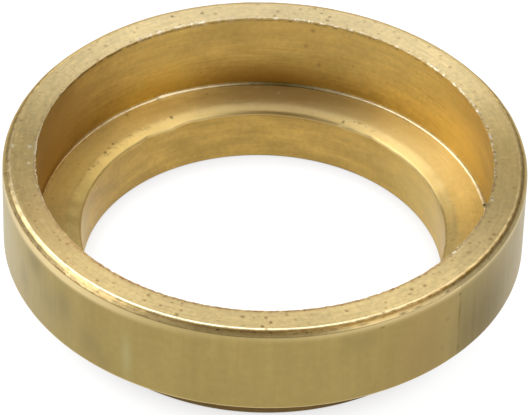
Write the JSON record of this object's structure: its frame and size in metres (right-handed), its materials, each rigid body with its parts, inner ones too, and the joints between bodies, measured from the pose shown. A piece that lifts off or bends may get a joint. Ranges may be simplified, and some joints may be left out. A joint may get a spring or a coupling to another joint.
{
  "type": "brass shoulder ring",
  "caption": "Turned brass ring with a wide body, a socket ending on an inner shoulder, a through bore and a narrower neck below an outer shoulder; locates and seats a pipe or fitting.",
  "frame": {"origin": "centre of the neck's foot, on the ring's axis, at the lowest point of the part", "axes": "+Z along the ring's axis from the foot towards the open top face; +X to the right and +Y away from a viewer in front"},
  "size_m": [0.06, 0.06, 0.017],
  "materials": {
    "brass": "turned brass with a satin drawn outside wall, fine turning lines, small pits and a burred inner edge"
  },
  "bodies": {
    "root": {"shoulder_ring": "brass"}
  },
  "joints": []
}
